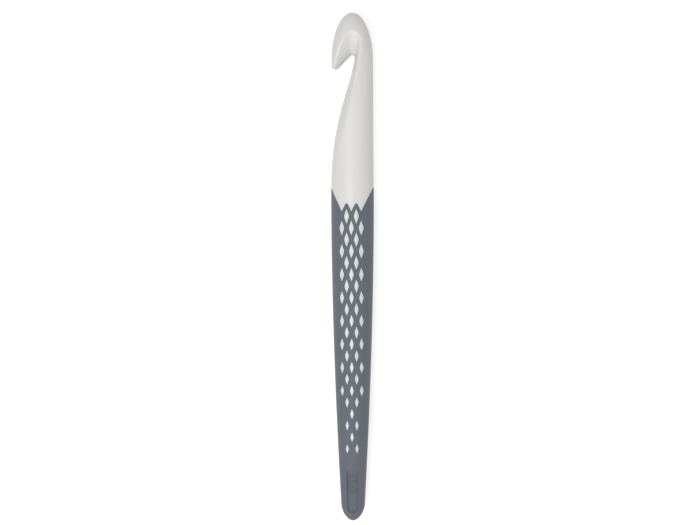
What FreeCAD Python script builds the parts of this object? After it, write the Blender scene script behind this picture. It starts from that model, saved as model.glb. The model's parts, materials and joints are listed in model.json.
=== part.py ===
import FreeCAD, Part
import math
import os
from FreeCAD import Vector

# A 15 mm crochet hook with a soft-grip handle, in millimetres: a white moulded core (head,
# throat, shaft, hidden tang and the diamond lands of the handle) and the soft grip moulded over it.
# It lies flat. The long axis runs along Y with the head at +Y, the throat opens to -X, the size
# recess faces +Z, and the origin is the bottom centre of the bounding box.
# Places along the hook are distances from the head's tip, and places across it are from its axis.
# The tang is a flat bar inside the grip, and the lands stand on it and look out through windows.

# ---- overall ----
hook_diameter = 15.0          # the shaft's diameter, which is the size of the hook
total_length = 180.0
dome_length = 16.7            # the head's elliptical dome
shaft_start = 59.6            # from here to the handle the shaft is a true cylinder
shaft_radius = hook_diameter / 2
head_radius = shaft_radius - 0.12   # the head and neck are drafted slimmer towards the tip

# ---- throat: its outline lies in planes along the hook and opens with the square of the height
# over the axis, so the neck is a smooth oval and the root a saddle ----
root_centre = (-0.07, 16.17)  # centre of the root's round: across the axis, from the tip
root_drift = (1.12, -11.8)    # how far the centre moves on the way up to the shaft's radius
root_radius = 1.0
root_opening = 2.25           # and how much the round grows
lip_radius = 1.49             # the round end of the lip
lip_centre = (lip_radius - head_radius - 0.03, 18.79)
lip_drift = (-3.32, -6.02)
ramp_knee = (-0.75, 27.0)     # control points of the ramp from the neck down to the shaft
ramp_swell = (-0.05 - shaft_radius, 38.0)
ramp_end = (-0.05 - shaft_radius, 63.0)
ramp_bow = 3.38               # how far the ramp falls away up there
ridge_round = 1.2             # soft ridge between the throat and the outside

# ---- handle ----
handle_start = 62.0           # where the taper leaves the shaft
handle_belly = handle_start + 55.0   # control points of the taper
handle_waist = total_length - 15.3
waist_radius = 4.65
heel_start = total_length - 5.3      # where the round heel begins
heel_radius = 4.15
taper_steps = 5               # taper and heel are turned in straight stretches, less than 0.1 off
heel_steps = 5                # their curves
heel_knee = 0.64              # the heel's curve, as shares of its length and radius
heel_knee_radius = 0.86
heel_tip_radius = 0.36
grip_proud = 0.08             # the grip stands this much over the shaft
land_proud = 0.02             # and the diamond lands this much over the grip
grip_radius = shaft_radius + grip_proud
tang_width = 0.68             # the hidden tang's half sizes, as shares of the grip's radius
tang_height = 0.45
tang_end_share = 0.88         # the tang is this much slimmer where it ends
heel_wall = 4.0               # the grip's thickness beyond the tang's end

# ---- size recess ----
recess_start = total_length - 19.4
recess_end = total_length - 2.6
recess_ramp = 3.2             # length of its sloping start
recess_floor_width = 3.0
recess_mouth_width = 4.0      # at the grip's surface
recess_side_depth = 0.85
recess_end_depth = 0.5
recess_draft = 30.0           # slope of its walls from upright, in degrees
recess_clear = 2.0            # how far its cutter stands over the floor

# ---- diamond lands and their windows in the grip ----
row_count = 21
first_row = 72.3
last_row = recess_start - 6.2
row_pitch = (last_row - first_row) / (row_count - 1)
column_pitch = 3.43
first_diamond = (1.87, 5.28)  # width and length in the first row
last_diamond = (1.15, 3.3)    # and in the last
single_from = 18              # from this row on, the even rows have one diamond and not three

# ---- the grip's top edge, a zigzag in line with the lattice ----
notch = first_row - 1.8       # the lowest points of the edge
side_peak = notch - 8.35      # the long flanks run up to here on the sides
inner_peak = notch - 3.2      # the two small peaks between the notches
peak_round = 0.6

head_y = total_length / 2
axis_height = grip_radius     # it lies on the grip's full radius
beyond = 6.0                  # how far cutting shapes run past the outside


def at(x, s, z=0.0):
    """A point from its place across the axis, its distance from the tip and its height."""
    return Vector(x, head_y - s, axis_height + z)


def line(a, b):
    return Part.makeLine(a, b)


def bezier(*poles):
    curve = Part.BezierCurve()
    curve.setPoles(list(poles))
    return curve.toShape()


def turned(*edges):
    """The solid that the edges of a half profile make when turned about the long axis."""
    wire = Part.Wire(Part.__sortEdges__(list(edges)))
    return Part.Face(wire).revolve(at(0, 0), Vector(0, 1, 0), 360)


# ---------------------------------------------------------------- handle and head, turned

def cubic(poles, t):
    """A point on the curve that four control points draw."""
    weights = [(1 - t) ** 3, 3 * (1 - t) ** 2 * t, 3 * (1 - t) * t ** 2, t ** 3]
    return [sum(w * pole[i] for w, pole in zip(weights, poles)) for i in (0, 1)]


def handle_places():
    """Distance from the tip and grip radius at both ends of each straight stretch."""
    length = total_length - heel_start
    taper = [(handle_start, grip_radius), (handle_belly, grip_radius),
             (handle_waist, waist_radius), (heel_start, heel_radius)]
    heel = [(heel_start, heel_radius),
            (heel_start + heel_knee * length, heel_knee_radius * heel_radius),
            (total_length, heel_tip_radius * heel_radius), (total_length, 0)]
    return ([cubic(taper, i / taper_steps) for i in range(taper_steps)]
            + [cubic(heel, i / heel_steps) for i in range(heel_steps + 1)])


def skin_radius(s):
    """The grip's outside radius at a distance from the tip."""
    if s <= handle_start:
        return grip_radius
    for (s0, r0), (s1, r1) in zip(handle_places(), handle_places()[1:]):
        if s <= s1:
            return r0 + (r1 - r0) * (s - s0) / (s1 - s0)
    return 0.0


def handle(start):
    """The whole handle in the grip's outline, running on at its full radius up to start."""
    places = [at(radius, s) for s, radius in [(start, grip_radius)] + handle_places()]
    return turned(line(at(0, start), places[0]),
                  *[line(a, b) for a, b in zip(places, places[1:])],
                  line(at(0, start), at(0, total_length)))


def core_blank():
    """Head and shaft, and as much of the taper under the grip's edge as the core reaches."""
    end, radius = handle_places()[1]
    dome = Part.Ellipse(at(0, 0), at(head_radius, dome_length), at(0, dome_length))
    return turned(Part.ArcOfEllipse(dome, 0, math.pi / 2).toShape(),
                  line(at(head_radius, dome_length), at(shaft_radius, shaft_start)),
                  line(at(shaft_radius, shaft_start), at(shaft_radius, handle_start)),
                  line(at(shaft_radius, handle_start), at(radius - grip_proud, end)),
                  line(at(radius - grip_proud, end), at(0, end)),
                  line(at(0, 0), at(0, end)))


# ---------------------------------------------------------------- throat

def moved(point, drift, zz):
    return point[0] + drift[0] * zz, point[1] + drift[1] * zz


def on_circle(centre, radius, angle):
    return centre[0] + radius * math.cos(angle), centre[1] + radius * math.sin(angle)


def heading(a, b):
    """Direction and distance from a to b."""
    return math.atan2(b[1] - a[1], b[0] - a[0]), math.hypot(b[0] - a[0], b[1] - a[1])


def arc(centre, radius, first, last, z):
    points = [on_circle(centre, radius, a) for a in (first, (first + last) / 2, last)]
    return Part.Arc(*[at(*p, z) for p in points]).toShape()


def throat_outline(z):
    """The throat's outline in the plane at height z over the axis."""
    zz = (z / shaft_radius) ** 2
    root, root_r = moved(root_centre, root_drift, zz), root_radius + root_opening * zz
    lip = moved(lip_centre, lip_drift, zz)
    knee, swell, end = [moved(p, (ramp_bow, 0), zz) for p in (ramp_knee, ramp_swell, ramp_end)]
    # the lip's inner edge touches the lip's round on one side and the root's on the other
    toward, reach = heading(root, lip)
    inner = toward + math.acos((root_r + lip_radius) / reach)
    # the ramp leaves the root's round along its tangent
    toward, reach = heading(root, knee)
    leave = toward - math.acos(root_r / reach) + 2 * math.pi
    outside = ramp_end[0] - 2 * beyond
    lip_in = on_circle(lip, lip_radius, inner - math.pi)
    return Part.Wire([
        line(at(outside, lip[1], z), at(*on_circle(lip, lip_radius, math.pi), z)),
        arc(lip, lip_radius, math.pi, inner - math.pi, z),
        line(at(*lip_in, z), at(*on_circle(root, root_r, inner), z)),
        arc(root, root_r, inner, leave, z),
        bezier(at(*on_circle(root, root_r, leave), z), at(*knee, z), at(*swell, z), at(*end, z)),
        line(at(*end, z), at(outside, end[1], z)),
        line(at(outside, end[1], z), at(outside, lip[1], z)),
    ])


def with_throat(blank):
    """The blank with its throat cut, and the ridge round the throat made soft."""
    reach = shaft_radius + 0.5
    cutter = Part.makeLoft([throat_outline(z) for z in (-reach, 0, reach)], True, False)
    cut = blank.cut(cutter)
    skin = blank.Shells[0]
    ridge = []
    for edge in cut.Edges:
        if edge.Degenerated or edge.Curve.TypeId != "Part::GeomBSplineCurve":
            continue
        first, last = edge.FirstParameter, edge.LastParameter
        spots = [edge.valueAt(first + (last - first) * f) for f in (0.3, 0.5)]
        if all(skin.distToShape(Part.Vertex(p))[0] < 1e-3 for p in spots):
            ridge.append(edge)
    return cut.makeFillet(ridge_round, ridge)


# ---------------------------------------------------------------- lattice, tang and grip

def lattice():
    """Place, width and length of each diamond, row by row, smaller towards the heel."""
    diamonds = []
    for row in range(row_count):
        share = row / (row_count - 1)
        size = [a + (b - a) * share for a, b in zip(first_diamond, last_diamond)]
        columns = (-0.5, 0.5) if row % 2 == 0 else (-1, 0, 1) if row + 1 < single_from else (0,)
        diamonds += [(c * column_pitch, first_row + row * row_pitch, *size) for c in columns]
    return diamonds


def land(x, s, width, length):
    """A land that stands up from the middle of the tang: its flat top lies in the skin's slope."""
    radius = skin_radius(s) + land_proud
    top = math.sqrt(radius ** 2 - x ** 2)
    fall = (skin_radius(s + row_pitch) - skin_radius(s)) / row_pitch
    corners = [at(x + dx, s + ds, top - dx * x / top + ds * fall * radius / top)
               for dx, ds in ((0, -length / 2), (width / 2, 0), (0, length / 2), (-width / 2, 0))]
    return Part.Face(Part.makePolygon(corners + corners[:1])).extrude(Vector(0, 0, -top))


def lands():
    """The lands of the upper face and their mirror images on the lower face."""
    upper = [land(*diamond) for diamond in lattice()]
    return upper + [post.mirror(at(0, 0), Vector(0, 0, 1)) for post in upper]


def window(x, s, width, length):
    """A diamond bar through the whole handle, which leaves a window in both faces of the grip."""
    low = -grip_radius - beyond
    corners = [at(x + dx, s + ds, low)
               for dx, ds in ((0, -length / 2), (width / 2, 0), (0, length / 2), (-width / 2, 0))]
    outline = Part.makePolygon(corners + corners[:1])
    return Part.Face(outline).extrude(Vector(0, 0, -2 * low))


def tang():
    """The flat bar inside the grip that carries the lands. It narrows as the handle does."""
    end = total_length - heel_wall
    sections = []
    for s, share in ((side_peak - 1, 1), (last_row - 5 * row_pitch, 1), (end, tang_end_share)):
        width, height = [f * share * skin_radius(s) for f in (tang_width, tang_height)]
        corners = [at(x * width, s, z * height) for x, z in ((-1, -1), (1, -1), (1, 1), (-1, 1))]
        sections.append(Part.makePolygon(corners + corners[:1]))
    upper, lower = [Part.makeLoft(sections[i:i + 2], True, True) for i in (0, 1)]
    return upper.fuse(lower)


def grip_zone():
    """All that lies beyond the grip's top edge, which is a zigzag: long flanks up to the two side
    peaks, and two small round peaks between."""
    depth = grip_radius + beyond
    far, half = grip_radius + beyond, column_pitch / 2
    high = side_peak - (notch - side_peak) / (shaft_radius - column_pitch) * (far - shaft_radius)
    run = half * peak_round / (notch - inner_peak)
    low = total_length + beyond
    edges = [line(at(-far, high, -depth), at(-2 * half, notch, -depth))]
    for x in (-half, half):
        left, right = [at(x + side * run, inner_peak + peak_round, -depth) for side in (-1, 1)]
        edges += [line(at(x - half, notch, -depth), left),
                  Part.Arc(left, at(x, inner_peak + peak_round / 2, -depth), right).toShape(),
                  line(right, at(x + half, notch, -depth))]
    corners = [(2 * half, notch), (far, high), (far, low), (-far, low), (-far, high)]
    edges += [line(at(*a, -depth), at(*b, -depth)) for a, b in zip(corners, corners[1:])]
    return Part.Face(Part.Wire(edges)).extrude(Vector(0, 0, 2 * depth))


def size_recess():
    """The cutter for the size recess: a flat floor that slopes in at the head's side and rounds
    off at the heel, with walls that open outwards."""
    ramp_foot = recess_start + recess_ramp
    side = math.sqrt(skin_radius(ramp_foot) ** 2 - (recess_mouth_width / 2) ** 2)
    high, low = side - recess_side_depth, skin_radius(recess_end) - recess_end_depth
    slope = (high - low) / (recess_end - ramp_foot)

    def floor(s):
        return high - slope * (s - ramp_foot)

    def outline(height):
        half = recess_floor_width / 2 + height * math.tan(math.radians(recess_draft))
        bend = recess_end - recess_mouth_width / 2
        top = recess_start - beyond
        corners = [at(x, s, floor(s) + height)
                   for x, s in ((-half, bend), (-half, top), (half, top), (half, bend))]
        round_end = at(0, bend + half, floor(bend + half) + height)
        return Part.Wire([line(*corners[0:2]), line(*corners[1:3]), line(*corners[2:4]),
                          Part.Arc(corners[3], round_end, corners[0]).toShape()])

    walls = Part.makeLoft([outline(0), outline(recess_clear)], True, True)
    rise = (skin_radius(recess_start) - high) / recess_ramp
    reach = recess_ramp + 2 * beyond
    under = Part.makePolygon([
        at(-beyond, ramp_foot, high), at(-beyond, ramp_foot - reach, high + rise * reach),
        at(-beyond, ramp_foot - reach, high - beyond), at(-beyond, ramp_foot, high - beyond),
        at(-beyond, ramp_foot, high)])
    return walls.cut(Part.Face(under).extrude(Vector(2 * beyond, 0, 0)))


zone = grip_zone()
hidden = tang()
nodes = {
    "hook_core": with_throat(core_blank()).cut(zone).fuse([hidden] + lands()),
    "soft_grip": handle(side_peak - 1).common(zone).cut(
        [hidden, size_recess()] + [window(*diamond) for diamond in lattice()]),
}
os.makedirs("parts", exist_ok=True)
for name, shape in nodes.items():
    shape.exportStep("parts/" + name + ".step")
    print(name, shape.isValid(), len(shape.Solids), round(shape.Volume, 1), len(shape.Faces))
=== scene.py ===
"""A 15 mm crochet hook with a soft-grip handle, lying on a pale floor.

The hook is two pieces, as it is moulded: a white core (head, throat, shaft, hidden tang and the
diamond lands of the handle) and the soft grip around it. Sizes are in millimetres. Places along the
hook are distances from the head's tip, and places across it are from its axis, until a finished
piece is scaled to metres. The throat opens to -X and the size recess faces +Z.
"""
import json
import logging
import math
from dataclasses import dataclass, field
from enum import Enum
from typing import Callable

import bmesh
import bpy
import numpy as np
from mathutils import Matrix, Vector


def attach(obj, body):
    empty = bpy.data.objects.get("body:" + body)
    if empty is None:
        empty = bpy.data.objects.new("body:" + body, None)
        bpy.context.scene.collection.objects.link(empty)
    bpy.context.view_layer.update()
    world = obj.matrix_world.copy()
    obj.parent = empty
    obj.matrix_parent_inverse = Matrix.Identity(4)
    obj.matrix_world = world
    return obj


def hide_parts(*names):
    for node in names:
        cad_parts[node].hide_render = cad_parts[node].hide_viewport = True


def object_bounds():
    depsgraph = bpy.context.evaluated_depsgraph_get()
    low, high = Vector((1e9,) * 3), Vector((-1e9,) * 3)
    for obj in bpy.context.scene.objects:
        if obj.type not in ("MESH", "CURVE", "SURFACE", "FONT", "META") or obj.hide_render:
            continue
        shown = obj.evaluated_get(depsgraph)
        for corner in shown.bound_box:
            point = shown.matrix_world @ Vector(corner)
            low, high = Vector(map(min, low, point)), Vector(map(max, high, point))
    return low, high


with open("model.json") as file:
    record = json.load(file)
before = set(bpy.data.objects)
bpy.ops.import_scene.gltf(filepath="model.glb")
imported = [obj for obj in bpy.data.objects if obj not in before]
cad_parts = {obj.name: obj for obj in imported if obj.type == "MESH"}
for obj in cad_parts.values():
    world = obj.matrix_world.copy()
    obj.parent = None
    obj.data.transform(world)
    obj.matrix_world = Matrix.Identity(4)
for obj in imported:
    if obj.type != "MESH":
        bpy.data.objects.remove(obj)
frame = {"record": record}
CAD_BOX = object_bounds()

LOG = logging.getLogger("crochet_hook")
MM = 0.001
GAUGE = frame["record"]["mounts"][0]
SHAFT_RADIUS = GAUGE["dims"]["r_mm"]
AXIS_HEIGHT = GAUGE["pos_m"][2] / MM
TIP_Y = CAD_BOX[1].y / MM
TOTAL_LENGTH = (CAD_BOX[1].y - CAD_BOX[0].y) / MM

THROUGH = 24.0  # a tool this tall passes through the whole hook
TOUCHING = 1e-4  # spots closer than this are one spot
HAIR = 1e-5
SHARP_EDGE = math.radians(32)

Pair = tuple[float, float]
Field = Callable[[np.ndarray], np.ndarray]


class Cut(Enum):
    """How one solid works on another."""

    AWAY = "DIFFERENCE"
    COMMON = "INTERSECT"
    ADDED = "UNION"


# ------------------------------------------------------------------ the maker's bench


def at(x: float, s: float, z: float = 0.0) -> Vector:
    """A point x across the axis, s from the tip and z over the axis."""
    return Vector((x, TIP_Y - s, AXIS_HEIGHT + z))


def cubic(poles: list[Pair], t: float) -> Pair:
    """A point on the curve of four control points.

    Args:
        poles: The control points.
        t: The point's place on the curve, 0 at its start and 1 at its end.

    Returns:
        The point.
    """
    weights = ((1 - t) ** 3, 3 * (1 - t) ** 2 * t, 3 * (1 - t) * t**2, t**3)
    first, second = (sum(w * pole[i] for w, pole in zip(weights, poles)) for i in (0, 1))
    return first, second


def put_down(name: str, bm: bmesh.types.BMesh) -> bpy.types.Object:
    """Puts a finished bmesh into the scene as a closed solid with its faces outwards.

    Args:
        name: The object's name.
        bm: The bmesh, which is freed.

    Returns:
        The new object.
    """
    bmesh.ops.recalc_face_normals(bm, faces=bm.faces)
    mesh = bpy.data.meshes.new(name)
    bm.to_mesh(mesh)
    bm.free()
    solid = bpy.data.objects.new(name, mesh)
    bpy.context.scene.collection.objects.link(solid)
    return solid


def settle(solid: bpy.types.Object) -> None:
    """Makes what the solid's modifiers show its own mesh.

    Args:
        solid: The solid, which is changed.
    """
    graph = bpy.context.evaluated_depsgraph_get()
    mesh = bpy.data.meshes.new_from_object(solid.evaluated_get(graph))
    solid.modifiers.clear()
    solid.data = mesh


def carve(solid: bpy.types.Object, tool: bpy.types.Object, cut: Cut) -> None:
    """Cuts a solid with a tool, or adds the tool to it.

    Args:
        solid: The solid, which is changed.
        tool: The tool, which stays.
        cut: Whether the tool's room is taken away, is all that is left or is added.
    """
    step = solid.modifiers.new("cut", "BOOLEAN")
    step.operation = cut.value
    step.solver = "MANIFOLD"
    step.object = tool
    settle(solid)


def clear_away(*tools: bpy.types.Object) -> None:
    """Takes tools that have done their work out of the scene."""
    for tool in tools:
        bpy.data.objects.remove(tool)


def turned(name: str, profile: list[Pair], steps: int) -> bpy.types.Object:
    """Turns a half profile about the hook's axis into a closed solid.

    Args:
        name: The object's name.
        profile: Distances from the tip with radii; the first and last radius are 0.
        steps: How many faces go round.

    Returns:
        The turned solid.
    """
    bm = bmesh.new()
    spots = [bm.verts.new(at(radius, s)) for s, radius in profile]
    lines = [bm.edges.new(pair) for pair in zip(spots, spots[1:])]
    bmesh.ops.spin(bm, geom=spots + lines, cent=at(0, 0), axis=(0, 1, 0), dvec=(0, 0, 0),
                   angle=math.tau, steps=steps, use_merge=True)
    bmesh.ops.remove_doubles(bm, verts=bm.verts, dist=TOUCHING)
    return put_down(name, bm)


def pushed_up(bm: bmesh.types.BMesh, face: bmesh.types.BMFace, height: float) -> None:
    """Makes a flat face a prism.

    Args:
        bm: The bmesh, which is changed.
        face: The face, which becomes the prism's foot.
        height: The prism's height.
    """
    top = bmesh.ops.extrude_face_region(bm, geom=[face])["geom"]
    corners = [part for part in top if isinstance(part, bmesh.types.BMVert)]
    bmesh.ops.translate(bm, verts=corners, vec=(0, 0, height))


# ------------------------------------------------------------------ outline and throat


@dataclass(frozen=True)
class Outline:
    """The hook's turned outline: dome, drafted neck, shaft, tapered handle and round heel."""

    dome_length: float = 16.7
    head_radius: float = SHAFT_RADIUS - 0.12
    shaft_start: float = 59.6
    handle_start: float = 62.0
    belly: float = 55.0
    waist: Pair = (15.3, 4.65)
    heel: Pair = (5.3, 4.15)
    heel_knee: Pair = (0.64, 0.86)
    heel_tip: float = 0.36
    grip_proud: float = 0.08
    land_proud: float = 0.02
    dome_steps: int = 28
    taper_steps: int = 160
    heel_steps: int = 20

    def head_profile(self, end: float) -> list[Pair]:
        """The profile of head and shaft, closed to the axis at both ends.

        Args:
            end: Distance from the tip at which it ends.

        Returns:
            Distances from the tip with radii.
        """
        turns = [math.pi / 2 * i / self.dome_steps for i in range(self.dome_steps + 1)]
        dome = [(self.dome_length * (1 - math.cos(a)), self.head_radius * math.sin(a))
                for a in turns]
        return dome + [(self.shaft_start, SHAFT_RADIUS), (end, SHAFT_RADIUS), (end, 0.0)]

    def handle_curves(self) -> tuple[list[Pair], list[Pair]]:
        """The curves of the handle, on the grip's surface.

        Returns:
            Control points of the taper, and those of the heel.
        """
        radius = SHAFT_RADIUS + self.grip_proud
        waist_at, heel_at = (TOTAL_LENGTH - pair[0] for pair in (self.waist, self.heel))
        heel_radius = self.heel[1]
        taper = [(self.handle_start, radius), (self.handle_start + self.belly, radius),
                 (waist_at, self.waist[1]), (heel_at, heel_radius)]
        heel = [(heel_at, heel_radius),
                (heel_at + self.heel_knee[0] * self.heel[0], self.heel_knee[1] * heel_radius),
                (TOTAL_LENGTH, self.heel_tip * heel_radius), (TOTAL_LENGTH, 0.0)]
        return taper, heel

    def handle_profile(self, start: float, inset: float) -> list[Pair]:
        """The handle's profile as far as the heel's end.

        Args:
            start: Distance from the tip at which it starts.
            inset: How far it lies inside the grip's surface.

        Returns:
            Distances from the tip with radii.
        """
        taper, heel = self.handle_curves()
        places = [(start, SHAFT_RADIUS + self.grip_proud)]
        places += [cubic(taper, i / self.taper_steps) for i in range(self.taper_steps + 1)]
        places += [cubic(heel, i / self.heel_steps) for i in range(1, self.heel_steps + 1)]
        return [(min(s, TOTAL_LENGTH - inset), max(radius - inset, 0.0)) for s, radius in places]

    def core_profile(self, start: float, lands_from: float) -> list[Pair]:
        """The core's outside along the handle: the shaft's end, and then the tops of the lands.

        Args:
            start: Distance from the tip at which it starts.
            lands_from: Distance from the tip from which it follows the lands.

        Returns:
            Distances from the tip with radii.
        """
        under = self.handle_profile(start, self.grip_proud)
        raised = self.grip_proud + self.land_proud
        return [(s, radius + raised if radius and s > lands_from else radius)
                for s, radius in under]

    def radius_at(self, s: float) -> float:
        """The grip's outside radius at a distance from the tip."""
        places = self.handle_profile(0.0, 0.0)
        return float(np.interp(s, [p[0] for p in places], [p[1] for p in places]))

    def depth(self, x: np.ndarray, s: np.ndarray, z: np.ndarray) -> np.ndarray:
        """How far points lie outside the turned head, neck and shaft.

        Args:
            x: Places across the axis.
            s: Distances from the tip.
            z: Heights over the axis.

        Returns:
            Distances from the surface, below 0 inside.
        """
        out = np.hypot(x, z)
        lean = (SHAFT_RADIUS - self.head_radius) / (self.shaft_start - self.dome_length)
        neck = out - np.minimum(self.head_radius + lean * (s - self.dome_length), SHAFT_RADIUS)
        along = (s - self.dome_length) / self.dome_length
        share = np.hypot(out / self.head_radius, along)
        steep = np.hypot(out / self.head_radius**2, along / self.dome_length) / share
        return np.where(s < self.dome_length, (share - 1) / steep, neck)


@dataclass(frozen=True)
class Throat:
    """The throat, with a round root, a round lip and a long ramp in every plane along the hook.

    All of them open with the square of the height over the axis.
    """

    root: Pair = (-0.07, 16.17)
    root_drift: Pair = (1.12, -11.8)
    root_radius: float = 1.0
    root_opening: float = 2.25
    lip_radius: float = 1.49
    lip: Pair = (1.49 - SHAFT_RADIUS + 0.12 - 0.03, 18.79)
    lip_drift: Pair = (-3.32, -6.02)
    knee: Pair = (-0.75, 27.0)
    swell: Pair = (-0.05 - SHAFT_RADIUS, 38.0)
    end: Pair = (-0.05 - SHAFT_RADIUS, 63.0)
    bow: float = 3.38
    reach: float = 6.0
    lip_steps: int = 8
    root_steps: int = 12
    ramp_steps: int = 24
    levels: int = 4
    over: float = 0.5
    closings: int = 8

    def places(self, z: np.ndarray) -> dict[str, np.ndarray]:
        """Where the throat's circles, directions and ramp lie at each height over the axis.

        Args:
            z: Heights over the axis.

        Returns:
            Centres and radii of root and lip, the directions in which the lip's inner edge and
            the ramp leave the root, and the ramp's four control points.
        """
        rise = (z / SHAFT_RADIUS) ** 2
        root = np.stack([p + d * rise for p, d in zip(self.root, self.root_drift)])
        lip = np.stack([p + d * rise for p, d in zip(self.lip, self.lip_drift)])
        radius = self.root_radius + self.root_opening * rise
        knee, swell, end = (np.stack([p[0] + self.bow * rise, p[1] + 0 * rise])
                            for p in (self.knee, self.swell, self.end))
        to_lip, to_knee = lip - root, knee - root
        inner = np.arctan2(to_lip[1], to_lip[0]) + np.arccos(
            (radius + self.lip_radius) / np.hypot(*to_lip))
        leave = np.arctan2(to_knee[1], to_knee[0]) - np.arccos(
            radius / np.hypot(*to_knee)) + math.tau
        start = root + radius * np.stack([np.cos(leave), np.sin(leave)])
        return {"root": root, "radius": radius, "lip": lip, "inner": inner, "leave": leave,
                "ramp": np.stack([start, knee, swell, end])}

    def outline(self, z: float) -> list[Pair]:
        """The throat's outline in one plane along the hook.

        Args:
            z: The plane's height over the axis.

        Returns:
            The corners of the roughing tool in that plane.
        """
        at_z = self.places(np.array([z]))
        root, lip, ramp = at_z["root"][:, 0], at_z["lip"][:, 0], at_z["ramp"][:, :, 0]
        inner, leave, radius = (float(at_z[key][0]) for key in ("inner", "leave", "radius"))
        outside = self.end[0] - self.reach
        points = [(outside, float(lip[1]))]
        for centre, size, first, last, steps in (
                (lip, self.lip_radius, math.pi, inner - math.pi, self.lip_steps),
                (root, radius, inner, leave, self.root_steps)):
            turns = [first + (last - first) * i / steps for i in range(steps + 1)]
            x, s = float(centre[0]), float(centre[1])
            points += [(x + size * math.cos(a), s + size * math.sin(a)) for a in turns]
        poles = [(float(x), float(s)) for x, s in ramp]
        points += [cubic(poles, i / self.ramp_steps) for i in range(1, self.ramp_steps + 1)]
        return points + [(outside, poles[-1][1])]

    def cutter(self) -> bpy.types.Object:
        """The roughing tool, made of outlines at several heights, bridged and closed.

        Returns:
            The tool.
        """
        bm = bmesh.new()
        loops = []
        for level in range(-self.levels, self.levels + 1):
            height = level * (SHAFT_RADIUS + self.over) / self.levels
            spots = [bm.verts.new(at(x, s, height)) for x, s in self.outline(height)]
            loops.append([bm.edges.new(pair) for pair in zip(spots, spots[1:] + spots[:1])])
        for lower, upper in zip(loops, loops[1:]):
            bmesh.ops.bridge_loops(bm, edges=lower + upper)
        for loop in (loops[0], loops[-1]):
            bmesh.ops.contextual_create(bm, geom=loop)
        bmesh.ops.triangulate(bm, faces=[f for f in bm.faces if len(f.verts) > 4])
        return put_down("throat_tool", bm)

    def ramp_depth(self, x: np.ndarray, s: np.ndarray, poles: np.ndarray) -> np.ndarray:
        """How far points lie in the material behind the ramp.

        Args:
            x: Places across the axis.
            s: Distances from the tip.
            poles: The ramp's control points at each point's height.

        Returns:
            Distances from the ramp, more than 0 in the material.
        """
        t = np.clip((s - poles[0, 1]) / (poles[3, 1] - poles[0, 1]), 0.0, 1.0)
        for _ in range(self.closings):
            u = 1 - t
            place = (u**3 * poles[0] + 3 * u**2 * t * poles[1]
                     + 3 * u * t**2 * poles[2] + t**3 * poles[3])
            slope = 3 * (u**2 * (poles[1] - poles[0]) + 2 * u * t * (poles[2] - poles[1])
                         + t**2 * (poles[3] - poles[2]))
            t = np.clip(t + (s - place[1]) / slope[1], 0.0, 1.0)
        lean = slope[0] / slope[1]
        return (x - place[0] - lean * (s - place[1])) / np.hypot(1.0, lean)

    def depth(self, x: np.ndarray, s: np.ndarray, z: np.ndarray) -> np.ndarray:
        """How far points lie inside the throat's opening.

        Args:
            x: Places across the axis.
            s: Distances from the tip.
            z: Heights over the axis.

        Returns:
            Distances from the surface, below 0 in the material.
        """
        at_z = self.places(z)
        from_root = np.stack([x, s]) - at_z["root"]
        from_lip = np.stack([x, s]) - at_z["lip"]
        inner, leave = at_z["inner"], at_z["leave"]
        across = np.cos(inner) * from_lip[0] + np.sin(inner) * from_lip[1]
        lip = np.maximum(-across, -from_lip[0])
        turn = np.mod(np.arctan2(from_lip[1], from_lip[0]) - (inner - math.pi), math.tau)
        lip = np.where(turn < math.tau - inner, np.hypot(*from_lip), lip) - self.lip_radius
        beside = np.maximum(-lip, self.ramp_depth(x, s, at_z["ramp"]))
        turn = np.mod(np.arctan2(from_root[1], from_root[0]) - inner, math.tau)
        closed = turn < leave - inner
        return -np.where(closed, np.hypot(*from_root) - at_z["radius"], beside)


@dataclass(frozen=True)
class SoftRidge:
    """The soft ridge where the throat meets the turned outline."""

    outline: Outline
    throat: Throat
    roundness: float = 1.2
    feel: float = 0.01
    least_steepness: float = 0.05
    longest_move: float = 0.4

    def slopes(self, depth: Field, points: np.ndarray) -> np.ndarray:
        """The gradient of a depth.

        Args:
            depth: The depth.
            points: The points, one in a row.

        Returns:
            The gradient at each point, one in a row.
        """
        columns = []
        for axis in np.eye(3) * self.feel:
            columns.append((depth(points + axis) - depth(points - axis)) / (2 * self.feel))
        return np.stack(columns, axis=1)

    def press(self, points: np.ndarray, times: int) -> np.ndarray:
        """Moves points onto the finished surface of head, throat and shaft.

        Args:
            points: Points near the surface, one in a row.
            times: How often each point is moved.

        Returns:
            The moved points.
        """

        def split(form: Outline | Throat) -> Field:
            """The form's depth as a function of points in the frame."""
            return lambda p: form.depth(p[:, 0], TIP_Y - p[:, 1], p[:, 2] - AXIS_HEIGHT)

        outside, opening = split(self.outline), split(self.throat)
        for _ in range(times):
            a, b = outside(points), opening(points)
            slope_a, slope_b = self.slopes(outside, points), self.slopes(opening, points)
            size_a, size_b = (np.linalg.norm(g, axis=1) for g in (slope_a, slope_b))
            fold = np.clip(np.sum(slope_a * slope_b, axis=1) / (size_a * size_b), -1.0, 1.0)
            width = 4 * self.roundness * (1 - np.sqrt((1 + fold) / 2)) + 1e-6
            near = np.clip(width - np.abs(a - b), 0.0, None) / width
            depth = np.maximum(a, b) + near**2 * width / 4
            share = np.where(a > b, 1 - near / 2, near / 2)[:, None]
            slope = share * slope_a + (1 - share) * slope_b
            steep = np.maximum(np.sum(slope**2, axis=1), self.least_steepness)
            move = np.clip(depth / steep, -self.longest_move, self.longest_move)
            points = points - move[:, None] * slope
        return points


# ------------------------------------------------------------------ the lattice and the grip's bed


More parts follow.
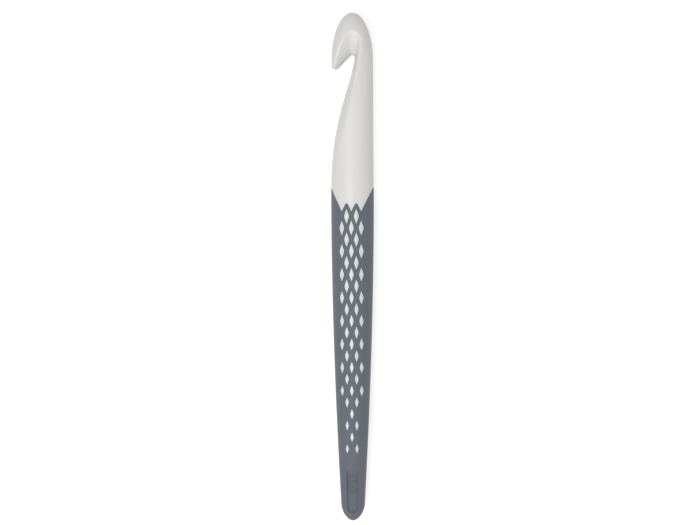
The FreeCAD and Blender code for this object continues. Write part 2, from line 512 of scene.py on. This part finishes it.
@dataclass(frozen=True)
class Lattice:
    """The diamonds of the handle, smaller row by row towards the heel."""

    rows: int = 21
    first_row: float = 72.3
    last_row: float = TOTAL_LENGTH - 25.6
    column_pitch: float = 3.43
    first_size: Pair = (1.87, 5.28)
    last_size: Pair = (1.15, 3.3)
    single_from: int = 18
    side_round: float = 0.24

    def places(self) -> list[tuple[float, float, float, float]]:
        """Where the diamonds lie and how large they are.

        Returns:
            Place across the axis, distance from the tip, width and length of each.
        """
        found = []
        for row in range(self.rows):
            share = row / (self.rows - 1)
            s = self.first_row + (self.last_row - self.first_row) * share
            width, length = (a + (b - a) * share
                             for a, b in zip(self.first_size, self.last_size))
            wide = (-1, 0, 1) if row + 1 < self.single_from else (0,)
            columns = (-0.5, 0.5) if row % 2 == 0 else wide
            found += [(c * self.column_pitch, s, width, length) for c in columns]
        return found

    def bars(self) -> bpy.types.Object:
        """Upright bars through the handle, pointed at their ends and round at their sides.

        Returns:
            All the bars as one solid.
        """
        bm = bmesh.new()
        for x, s, width, length in self.places():
            spots = bmesh.ops.create_circle(bm, cap_ends=True, segments=4, radius=1)["verts"]
            bmesh.ops.scale(bm, vec=(width / 2, length / 2, 1), verts=spots)
            sides = [spot for spot in spots if abs(spot.co.x) > width / 4]
            bmesh.ops.translate(bm, vec=at(x, s, -THROUGH / 2), verts=spots)
            edge = math.hypot(width, length) / 2
            bmesh.ops.bevel(bm, geom=sides, affect="VERTICES", segments=4, profile=0.5,
                            material=-1, offset=edge * self.side_round, offset_type="OFFSET")
            face = max((f for f in bm.faces if len(f.verts) > 4), key=lambda f: f.index)
            pushed_up(bm, face, THROUGH)
            bm.faces.index_update()
        return put_down("lattice_tool", bm)


@dataclass(frozen=True)
class GripBed:
    """All the room that the grip fills: beyond its zigzag edge, around the tang and the lands."""

    outline: Outline
    lattice: Lattice
    notch_before_row: float = 1.8
    side_peak: float = 8.35
    inner_peak: float = 3.45
    peak_round: float = 0.62
    tang_share: Pair = (0.68, 0.45)
    tang_end_share: float = 0.88
    heel_wall: float = 4.0
    beyond: float = 6.0

    @property
    def notch(self) -> float:
        """Distance from the tip of the zigzag's low points."""
        return self.lattice.first_row - self.notch_before_row

    @property
    def start(self) -> float:
        """Where the grip's turned body begins, just above its side peaks."""
        return self.notch - self.side_peak - 1

    def zone(self) -> bpy.types.Object:
        """The room beyond the zigzag, through the whole height of the handle.

        Returns:
            The room as a solid.
        """
        pitch, far = self.lattice.column_pitch, SHAFT_RADIUS + self.beyond
        rise = self.side_peak * (far - pitch) / (SHAFT_RADIUS - pitch)
        low, peak = TOTAL_LENGTH + self.beyond, self.notch - self.inner_peak
        corners = [(-far, low), (-far, self.notch - rise), (-pitch, self.notch), (-pitch / 2, peak),
                   (0.0, self.notch), (pitch / 2, peak), (pitch, self.notch),
                   (far, self.notch - rise), (far, low)]
        bm = bmesh.new()
        spots = [bm.verts.new(at(x, s, -THROUGH / 2)) for x, s in corners]
        bm.faces.new(spots)
        peaks = [spots[3], spots[5]]
        bmesh.ops.bevel(bm, geom=peaks, affect="VERTICES", segments=5, profile=0.5, material=-1,
                        offset=2 * self.peak_round, offset_type="OFFSET")
        bm.faces.ensure_lookup_table()
        pushed_up(bm, bm.faces[0], THROUGH)
        return put_down("grip_bed", bm)

    def tang(self) -> bpy.types.Object:
        """The flat bar inside the grip that carries the lands.

        Returns:
            The bar, a little narrower towards the heel.
        """
        bm = bmesh.new()
        middle = self.lattice.last_row - (self.lattice.last_row - self.lattice.first_row) / 4
        sections = ((self.start, 1.0), (middle, 1.0),
                    (TOTAL_LENGTH - self.heel_wall, self.tang_end_share))
        loops = []
        for s, share in sections:
            width, height = (f * share * self.outline.radius_at(s) for f in self.tang_share)
            spots = [bm.verts.new(at(x * width, s, z * height))
                     for x, z in ((-1, -1), (1, -1), (1, 1), (-1, 1))]
            loops.append([bm.edges.new(pair) for pair in zip(spots, spots[1:] + spots[:1])])
        for first, second in zip(loops, loops[1:]):
            bmesh.ops.bridge_loops(bm, edges=first + second)
        for loop in (loops[0], loops[-1]):
            bmesh.ops.contextual_create(bm, geom=loop)
        return put_down("tang", bm)

    def solid(self) -> bpy.types.Object:
        """The room that the grip fills, around the tang and the lands.

        Returns:
            The room as one solid.
        """
        bed, bars, tang = self.zone(), self.lattice.bars(), self.tang()
        carve(bed, bars, Cut.AWAY)
        carve(bed, tang, Cut.AWAY)
        clear_away(bars, tang)
        return bed


# ------------------------------------------------------------------ finishes


@dataclass(frozen=True)
class Finish:
    """What both finishes share: a colour that varies a little and a fine surface."""

    name: str
    slot: str
    colour: tuple[float, float, float]
    shade: float
    cloud_size: float
    roughness: Pair
    gloss: float
    sheen: float
    grain_size: float
    grain_depth: float
    seam_depth: float
    seam_width: float = 0.07
    cool: tuple[float, float, float] = (1.0, 1.0, 1.0)
    cool_span: Pair = (67.4, 71.0)

    def material(self) -> bpy.types.Material:
        """Builds the finish as a procedural material on the piece's own coordinates.

        Returns:
            The material.
        """
        material = bpy.data.materials.new(self.name)
        material.use_nodes = True
        tree = material.node_tree
        shader = tree.nodes["Principled BSDF"]
        shader.inputs["Specular IOR Level"].default_value = self.gloss
        shader.inputs["Sheen Weight"].default_value = self.sheen
        place = tree.nodes.new("ShaderNodeTexCoord").outputs["Object"]

        cloud = self.noise(tree, place, self.cloud_size, 3.0)
        tint = tree.nodes.new("ShaderNodeMix")
        tint.data_type = "RGBA"
        tint.inputs["A"].default_value = (*self.colour, 1)
        tint.inputs["B"].default_value = (*(c * self.shade for c in self.colour), 1)
        tree.links.new(cloud, tint.inputs["Factor"])
        tree.links.new(self.cooled(tree, place, tint.outputs["Result"]),
                       shader.inputs["Base Color"])

        rough = tree.nodes.new("ShaderNodeMapRange")
        rough.inputs["To Min"].default_value, rough.inputs["To Max"].default_value = self.roughness
        tree.links.new(self.noise(tree, place, self.cloud_size / 3, 4.0), rough.inputs["Value"])
        tree.links.new(rough.outputs["Result"], shader.inputs["Roughness"])

        grain = tree.nodes.new("ShaderNodeBump")
        grain.inputs["Strength"].default_value = 1.0
        grain.inputs["Distance"].default_value = self.grain_depth * MM
        tree.links.new(self.noise(tree, place, self.grain_size, 2.0), grain.inputs["Height"])
        seam = tree.nodes.new("ShaderNodeBump")
        seam.inputs["Strength"].default_value = 1.0
        seam.inputs["Distance"].default_value = self.seam_depth * MM
        tree.links.new(self.seam(tree, place), seam.inputs["Height"])
        tree.links.new(grain.outputs["Normal"], seam.inputs["Normal"])
        tree.links.new(seam.outputs["Normal"], shader.inputs["Normal"])
        return material

    def cooled(self, tree: bpy.types.NodeTree, place: bpy.types.NodeSocket,
               colour: bpy.types.NodeSocket) -> bpy.types.NodeSocket:
        """Lets the colour turn a little cooler past the join.

        Args:
            tree: The material's nodes.
            place: The coordinates it follows.
            colour: The colour before the join.

        Returns:
            The colour all along the piece.
        """
        along = tree.nodes.new("ShaderNodeSeparateXYZ")
        tree.links.new(place, along.inputs["Vector"])
        past = tree.nodes.new("ShaderNodeMapRange")
        for name, s in (("From Min", self.cool_span[0]), ("From Max", self.cool_span[1])):
            past.inputs[name].default_value = at(0, s).y * MM
        tree.links.new(along.outputs["Y"], past.inputs["Value"])
        cooler = tree.nodes.new("ShaderNodeMix")
        cooler.data_type = "RGBA"
        cooler.blend_type = "MULTIPLY"
        cooler.inputs["B"].default_value = (*self.cool, 1)
        tree.links.new(past.outputs["Result"], cooler.inputs["Factor"])
        tree.links.new(colour, cooler.inputs["A"])
        return cooler.outputs["Result"]

    def noise(self, tree: bpy.types.NodeTree, place: bpy.types.NodeSocket, size: float,
              detail: float) -> bpy.types.NodeSocket:
        """A soft noise with spots of about the given size.

        Args:
            tree: The material's nodes.
            place: The coordinates it follows.
            size: Size of a spot.
            detail: How many finer layers it has.

        Returns:
            The noise's value.
        """
        node = tree.nodes.new("ShaderNodeTexNoise")
        node.inputs["Scale"].default_value = 1 / (size * MM)
        node.inputs["Detail"].default_value = detail
        tree.links.new(place, node.inputs["Vector"])
        return node.outputs["Fac"]

    def seam(self, tree: bpy.types.NodeTree,
             place: bpy.types.NodeSocket) -> bpy.types.NodeSocket:
        """The faint line that the two halves of the mould leave along both sides.

        Args:
            tree: The material's nodes.
            place: The coordinates it follows.

        Returns:
            The line's height, 1 on the line.
        """
        parts = tree.nodes.new("ShaderNodeSeparateXYZ")
        tree.links.new(place, parts.inputs["Vector"])
        offset = tree.nodes.new("ShaderNodeMath")
        offset.operation = "SUBTRACT"
        offset.inputs[1].default_value = AXIS_HEIGHT * MM
        tree.links.new(parts.outputs["Z"], offset.inputs[0])
        away = tree.nodes.new("ShaderNodeMath")
        away.operation = "ABSOLUTE"
        tree.links.new(offset.outputs[0], away.inputs[0])
        line = tree.nodes.new("ShaderNodeMapRange")
        line.interpolation_type = "SMOOTHSTEP"
        line.inputs["From Min"].default_value = 0.0
        line.inputs["From Max"].default_value = self.seam_width * MM
        line.inputs["To Min"].default_value = 1.0
        line.inputs["To Max"].default_value = 0.0
        tree.links.new(away.outputs[0], line.inputs["Value"])
        return line.outputs["Result"]


WHITE_PLASTIC = Finish(
    name="white_plastic", slot="core", colour=(0.686, 0.678, 0.651), shade=0.975, cloud_size=9.0,
    roughness=(0.30, 0.42), gloss=0.5, sheen=0.0, grain_size=0.5, grain_depth=0.004,
    seam_depth=0.02, cool=(0.96, 0.975, 1.04))
SOFT_RUBBER = Finish(
    name="soft_rubber", slot="grip", colour=(0.122, 0.138, 0.165), shade=0.93, cloud_size=6.0,
    roughness=(0.60, 0.74), gloss=0.25, sheen=0.2, grain_size=0.14, grain_depth=0.012,
    seam_depth=0.02)


# ------------------------------------------------------------------ the two pieces


@dataclass
class Core:
    """The white core: head, throat, shaft, tang and lands in one moulding."""

    outline: Outline
    throat: Throat
    bed: GripBed
    grain: float = 0.2
    join: float = 60.8
    join_spare: float = 2.0
    pressed_past_join: float = 0.8
    join_gap: float = 0.4
    lands_before_notch: float = 0.7
    heel_side: float = 100.0
    rough_steps: int = 96
    steps: int = 144
    presses: int = 5
    evening: float = 0.4
    finish: Finish = WHITE_PLASTIC

    def head(self) -> bmesh.types.BMesh:
        """The head and shaft as far as the join, roughed out and then pressed to its surface.

        Returns:
            The bmesh, open at the join.
        """
        profile = self.outline.head_profile(self.join + self.join_spare)
        rough = turned("head", profile, self.rough_steps)
        tool = self.throat.cutter()
        carve(rough, tool, Cut.AWAY)
        even = rough.modifiers.new("even", "REMESH")
        even.mode = "VOXEL"
        even.voxel_size = self.grain
        settle(rough)
        bm = bmesh.new()
        bm.from_mesh(rough.data)
        clear_away(tool, rough)
        ridge = SoftRidge(self.outline, self.throat)
        last = at(0, self.join + self.pressed_past_join).y
        soft = [spot for spot in bm.verts if spot.co.y > last]
        for evened in (True, True, True, False):
            pressed = ridge.press(np.array([spot.co for spot in soft]), self.presses)
            for spot, place in zip(soft, pressed):
                spot.co = place
            if evened:
                bmesh.ops.smooth_vert(bm, verts=soft, factor=self.evening, use_axis_x=True,
                                      use_axis_y=True, use_axis_z=True)
        bmesh.ops.bisect_plane(bm, geom=[*bm.verts, *bm.edges, *bm.faces], dist=HAIR,
                               plane_co=at(0, self.join), plane_no=(0, -1, 0), clear_outer=True)
        return bm

    def blank(self) -> bpy.types.Object:
        """The head joined to the rest of the shaft and to the handle's outline under the grip.

        Returns:
            The core before the grip's room is cut from it.
        """
        bm = self.head()
        rim = [edge for edge in bm.edges if edge.is_boundary]
        places = self.outline.core_profile(self.join + self.join_gap,
                                           self.bed.notch - self.lands_before_notch)
        spots = [bm.verts.new(at(radius, s)) for s, radius in places]
        lines = [bm.edges.new(pair) for pair in zip(spots, spots[1:])]
        bmesh.ops.spin(bm, geom=spots + lines, cent=at(0, 0), axis=(0, 1, 0), dvec=(0, 0, 0),
                       angle=math.tau, steps=self.steps, use_merge=True)
        heel = [spot for spot in bm.verts if spot.co.y < at(0, self.heel_side).y]
        bmesh.ops.remove_doubles(bm, verts=heel, dist=TOUCHING)
        shoulder = [edge for edge in bm.edges if edge.is_boundary and edge not in rim]
        bmesh.ops.bridge_loops(bm, edges=rim + shoulder)
        return put_down("hook_core_piece", bm)

    def build(self, bed: bpy.types.Object) -> bpy.types.Object:
        """Builds the core and dresses it.

        Args:
            bed: The room that the grip fills.

        Returns:
            The finished piece, which stands for the CAD node of the core.
        """
        piece = self.blank()
        carve(piece, bed, Cut.AWAY)
        return dressed(piece, self.finish, "hook_core")


@dataclass
class SizeRecess:
    """The recess that shows the size: a flat floor with a sloping start, round at the heel."""

    outline: Outline
    start: float = TOTAL_LENGTH - 19.4
    end: float = TOTAL_LENGTH - 2.6
    ramp: float = 3.2
    floor_width: float = 3.0
    mouth_width: float = 4.1
    side_depth: float = 1.0
    end_depth: float = 0.6
    draft: float = 29.0
    clear: float = 2.0
    run_up: float = 6.0
    foot_round: float = 1.2
    foot_find: float = 0.02
    size_text: str = "15.0"
    text_from: float = TOTAL_LENGTH - 15.9
    text_length: float = 6.0
    text_height: float = 0.3
    half_thick: float = 0.5

    @property
    def ramp_foot(self) -> float:
        """Where the sloping start meets the floor."""
        return self.start + self.ramp

    @property
    def high(self) -> float:
        """The floor's height over the axis at the ramp's foot."""
        radius = self.outline.radius_at(self.ramp_foot)
        return math.sqrt(radius**2 - (self.mouth_width / 2) ** 2) - self.side_depth

    @property
    def fall(self) -> float:
        """How much the floor falls for each millimetre towards the heel."""
        low = self.outline.radius_at(self.end) - self.end_depth
        return (self.high - low) / (self.end - self.ramp_foot)

    def tool(self) -> bpy.types.Object:
        """The solid that cuts the recess.

        Returns:
            The tool, with its foot in the recess's floor.
        """
        half, bend = self.floor_width / 2, self.end - self.mouth_width / 2
        top = self.start - self.run_up
        bm = bmesh.new()
        spots = [bm.verts.new((x, -(s - bend), 0))
                 for x, s in ((-half, top), (half, top), (half, bend + half), (-half, bend + half))]
        bm.faces.new(spots)
        bmesh.ops.bevel(bm, geom=spots[2:], affect="VERTICES", segments=10, profile=0.5,
                        material=-1, offset=half, offset_type="OFFSET")
        bmesh.ops.remove_doubles(bm, verts=bm.verts, dist=TOUCHING)
        bm.faces.ensure_lookup_table()
        pushed_up(bm, bm.faces[0], self.clear)
        upper = [v for v in bm.verts if v.co.z > self.clear / 2]
        wide = (half + self.clear * math.tan(math.radians(self.draft))) / half
        bmesh.ops.scale(bm, vec=(wide, wide, 1), verts=upper)
        for spot in bm.verts:
            s = bend - spot.co.y
            spot.co = at(spot.co.x, s, self.high - self.fall * (s - self.ramp_foot) + spot.co.z)
        rise = (self.outline.radius_at(self.start) - self.high) / self.ramp
        slope = Vector((0, -rise, 1)).normalized()
        foot = at(0, self.ramp_foot, self.high)
        bmesh.ops.bisect_plane(bm, geom=[*bm.verts, *bm.edges, *bm.faces], dist=HAIR,
                               plane_co=foot, plane_no=slope, clear_inner=True)
        bmesh.ops.holes_fill(bm, edges=[e for e in bm.edges if e.is_boundary])
        crease = [e for e in bm.edges
                  if all(abs(v.co.y - foot.y) < self.foot_find
                         and abs(v.co.z - foot.z) < self.foot_find for v in e.verts)]
        bmesh.ops.bevel(bm, geom=crease, affect="EDGES", segments=6, profile=0.5, material=-1,
                        offset=self.foot_round, offset_type="OFFSET")
        return put_down("recess_tool", bm)

    def numeral(self) -> bpy.types.Object:
        """The hook's size in raised figures on the floor, read along the hook.

        Returns:
            The figures as a closed solid that is sunk a little into the floor.
        """
        curve = bpy.data.curves.new("numeral", "FONT")
        curve.body, curve.extrude, curve.resolution_u = self.size_text, self.half_thick, 5
        letters = bpy.data.objects.new("numeral", curve)
        bm = bmesh.new()
        bm.from_mesh(letters.to_mesh())
        bpy.data.objects.remove(letters)
        bmesh.ops.remove_doubles(bm, verts=bm.verts, dist=HAIR)
        low, high = (Vector(map(end, zip(*(spot.co for spot in bm.verts)))) for end in (min, max))
        stretch = self.text_length / (high.x - low.x)
        for spot in bm.verts:
            along, across, up = spot.co - (low + high) / 2
            s = self.text_from + self.text_length / 2 + along * stretch
            height = self.high - self.fall * (s - self.ramp_foot)
            height += up / self.half_thick * self.text_height
            spot.co = at(across * stretch, s, height)
        return put_down("numeral_tool", bm)


@dataclass
class SoftGrip:
    """The soft grip, moulded round the tang, with windows for the lands and the size recess."""

    outline: Outline
    bed: GripBed
    recess: SizeRecess
    steps: int = 144
    finish: Finish = SOFT_RUBBER

    def build(self, bed: bpy.types.Object) -> bpy.types.Object:
        """Builds the grip and dresses it.

        Args:
            bed: The room that the grip fills.

        Returns:
            The finished piece, which stands for the CAD node of the grip.
        """
        profile = self.outline.handle_profile(self.bed.start, 0.0)
        piece = turned("soft_grip_piece", [(self.bed.start, 0.0), *profile], self.steps)
        tool, numeral = self.recess.tool(), self.recess.numeral()
        carve(piece, bed, Cut.COMMON)
        carve(piece, tool, Cut.AWAY)
        carve(piece, numeral, Cut.ADDED)
        clear_away(tool, numeral)
        return dressed(piece, self.finish, "soft_grip")


def dressed(piece: bpy.types.Object, finish: Finish, node: str) -> bpy.types.Object:
    """Shades a finished solid, scales it to metres and puts it in its CAD node's place.

    Args:
        piece: The solid, in millimetres.
        finish: Its finish.
        node: The CAD node that it stands for.

    Returns:
        The same object.
    """
    bm = bmesh.new()
    bm.from_mesh(piece.data)
    bmesh.ops.remove_doubles(bm, verts=bm.verts, dist=2 * TOUCHING)
    bmesh.ops.scale(bm, vec=(MM, MM, MM), verts=bm.verts)
    for face in bm.faces:
        face.smooth = True
    for edge in bm.edges:
        edge.smooth = edge.is_manifold and edge.calc_face_angle(0.0) < SHARP_EDGE
    bm.to_mesh(piece.data)
    bm.free()
    piece.data.materials.clear()
    piece.data.materials.append(finish.material())
    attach(piece, "root")
    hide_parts(node)
    LOG.info("%s: %d faces, finish %s", piece.name, len(piece.data.polygons), finish.name)
    return piece


# ------------------------------------------------------------------ floor, light and camera


@dataclass(frozen=True)
class Lamp:
    """A square soft box, with its place in metres and its power in watts."""

    name: str
    place: tuple[float, float, float]
    size: float
    power: float

    def hang(self) -> None:
        """Hangs the soft box so that it faces the hook."""
        data = bpy.data.lights.new(self.name, "AREA")
        data.shape, data.size, data.energy = "SQUARE", self.size, self.power
        lamp = bpy.data.objects.new(self.name, data)
        lamp.location = self.place
        lamp.rotation_euler = (-Vector(self.place)).to_track_quat("-Z", "Y").to_euler()
        bpy.context.scene.collection.objects.link(lamp)


@dataclass(frozen=True)
class Studio:
    """A white table, a soft box under a white sky and a camera that looks down on the hook.

    Widths at the hook are in millimetres, all other lengths in metres.
    """

    width_in_view: float = 248.15
    off_centre: Pair = (0.9394, 1.418)
    floor_reach: float = 4.0
    sight: float = 20.0
    distance: float = 1.3
    lean: float = 3.4
    turn: float = -0.11
    sky: float = 0.66
    floor_colour: float = 0.52
    floor_glow: float = 0.66
    lamps: tuple[Lamp, ...] = field(default_factory=lambda: (
        Lamp("key", (-0.20, -0.30, 1.0), 0.45, 5.25),))

    def lay_floor(self) -> None:
        """Lays the white table, which keeps the hook's shadow."""
        bm = bmesh.new()
        bmesh.ops.create_grid(bm, x_segments=1, y_segments=1, size=self.floor_reach)
        mesh = bpy.data.meshes.new("floor")
        bm.to_mesh(mesh)
        bm.free()
        floor = bpy.data.objects.new("floor", mesh)
        bpy.context.scene.collection.objects.link(floor)
        material = bpy.data.materials.new("white_table")
        material.use_nodes = True
        tree = material.node_tree
        tree.nodes.clear()
        cloth = tree.nodes.new("ShaderNodeBsdfDiffuse")
        cloth.inputs["Color"].default_value = (*[self.floor_colour] * 3, 1)
        glow = tree.nodes.new("ShaderNodeEmission")
        glow.inputs["Strength"].default_value = self.floor_glow
        nothing = tree.nodes.new("ShaderNodeEmission")
        nothing.inputs["Strength"].default_value = 0.0
        seen = tree.nodes.new("ShaderNodeMixShader")
        both = tree.nodes.new("ShaderNodeAddShader")
        out = tree.nodes.new("ShaderNodeOutputMaterial")
        tree.links.new(self.shown(tree), seen.inputs[0])
        tree.links.new(nothing.outputs[0], seen.inputs[1])
        tree.links.new(glow.outputs[0], seen.inputs[2])
        tree.links.new(cloth.outputs[0], both.inputs[0])
        tree.links.new(seen.outputs[0], both.inputs[1])
        tree.links.new(both.outputs[0], out.inputs[0])
        mesh.materials.append(material)

    def shown(self, tree: bpy.types.NodeTree) -> bpy.types.NodeSocket:
        """1 for what the camera sees, itself, mirrored or through something clear.

        Args:
            tree: The nodes to add to.

        Returns:
            The socket with the value.
        """
        path = tree.nodes.new("ShaderNodeLightPath")
        most = path.outputs["Is Camera Ray"]
        for ray in ("Is Glossy Ray", "Is Transmission Ray"):
            both = tree.nodes.new("ShaderNodeMath")
            both.operation = "MAXIMUM"
            tree.links.new(most, both.inputs[0])
            tree.links.new(path.outputs[ray], both.inputs[1])
            most = both.outputs[0]
        return most

    def light(self) -> None:
        """Lights the table with a white sky and the soft box, before a white backdrop."""
        world = bpy.data.worlds.new("studio")
        bpy.context.scene.world = world
        world.use_nodes = True
        tree = world.node_tree
        sky = tree.nodes["Background"]
        sky.inputs["Strength"].default_value = self.sky
        backdrop = tree.nodes.new("ShaderNodeBackground")
        backdrop.inputs["Color"].default_value = (1, 1, 1, 1)
        backdrop.inputs["Strength"].default_value = 1.0
        sky.inputs["Color"].default_value = (1, 1, 1, 1)
        either = tree.nodes.new("ShaderNodeMixShader")
        tree.links.new(self.shown(tree), either.inputs[0])
        tree.links.new(sky.outputs[0], either.inputs[1])
        tree.links.new(backdrop.outputs[0], either.inputs[2])
        tree.links.new(either.outputs[0], tree.nodes["World Output"].inputs[0])
        for lamp in self.lamps:
            lamp.hang()

    def place_camera(self) -> None:
        """Places the camera over the hook, leaning a little to the closed side of the head."""
        data = bpy.data.cameras.new("camera")
        camera = bpy.data.objects.new("camera", data)
        bpy.context.scene.collection.objects.link(camera)
        data.lens = self.distance * data.sensor_width / (self.width_in_view * MM)
        data.clip_end = self.sight
        pose = (Matrix.Translation((0, 0, AXIS_HEIGHT * MM))
                @ Matrix.Rotation(math.radians(self.lean), 4, "Y")
                @ Matrix.Rotation(math.radians(self.turn), 4, "Z"))
        aim = Vector((-self.off_centre[0], self.off_centre[1], 0)) * MM
        camera.matrix_world = pose @ Matrix.Translation(aim + Vector((0, 0, self.distance)))
        bpy.context.scene.camera = camera

    def set_up(self) -> None:
        """Sets up the table, the light and the camera."""
        self.lay_floor()
        self.light()
        self.place_camera()
        bpy.context.scene.view_settings.view_transform = "Standard"


def main() -> None:
    """Builds both pieces in the order in which they are moulded, and then the studio."""
    logging.basicConfig(level=logging.INFO, format="%(name)s: %(message)s")
    outline, throat, lattice = Outline(), Throat(), Lattice()
    grip_bed = GripBed(outline, lattice)
    bed = grip_bed.solid()
    Core(outline, throat, grip_bed).build(bed)
    SoftGrip(outline, grip_bed, SizeRecess(outline)).build(bed)
    clear_away(bed)
    Studio().set_up()


if __name__ == "__main__":
    main()
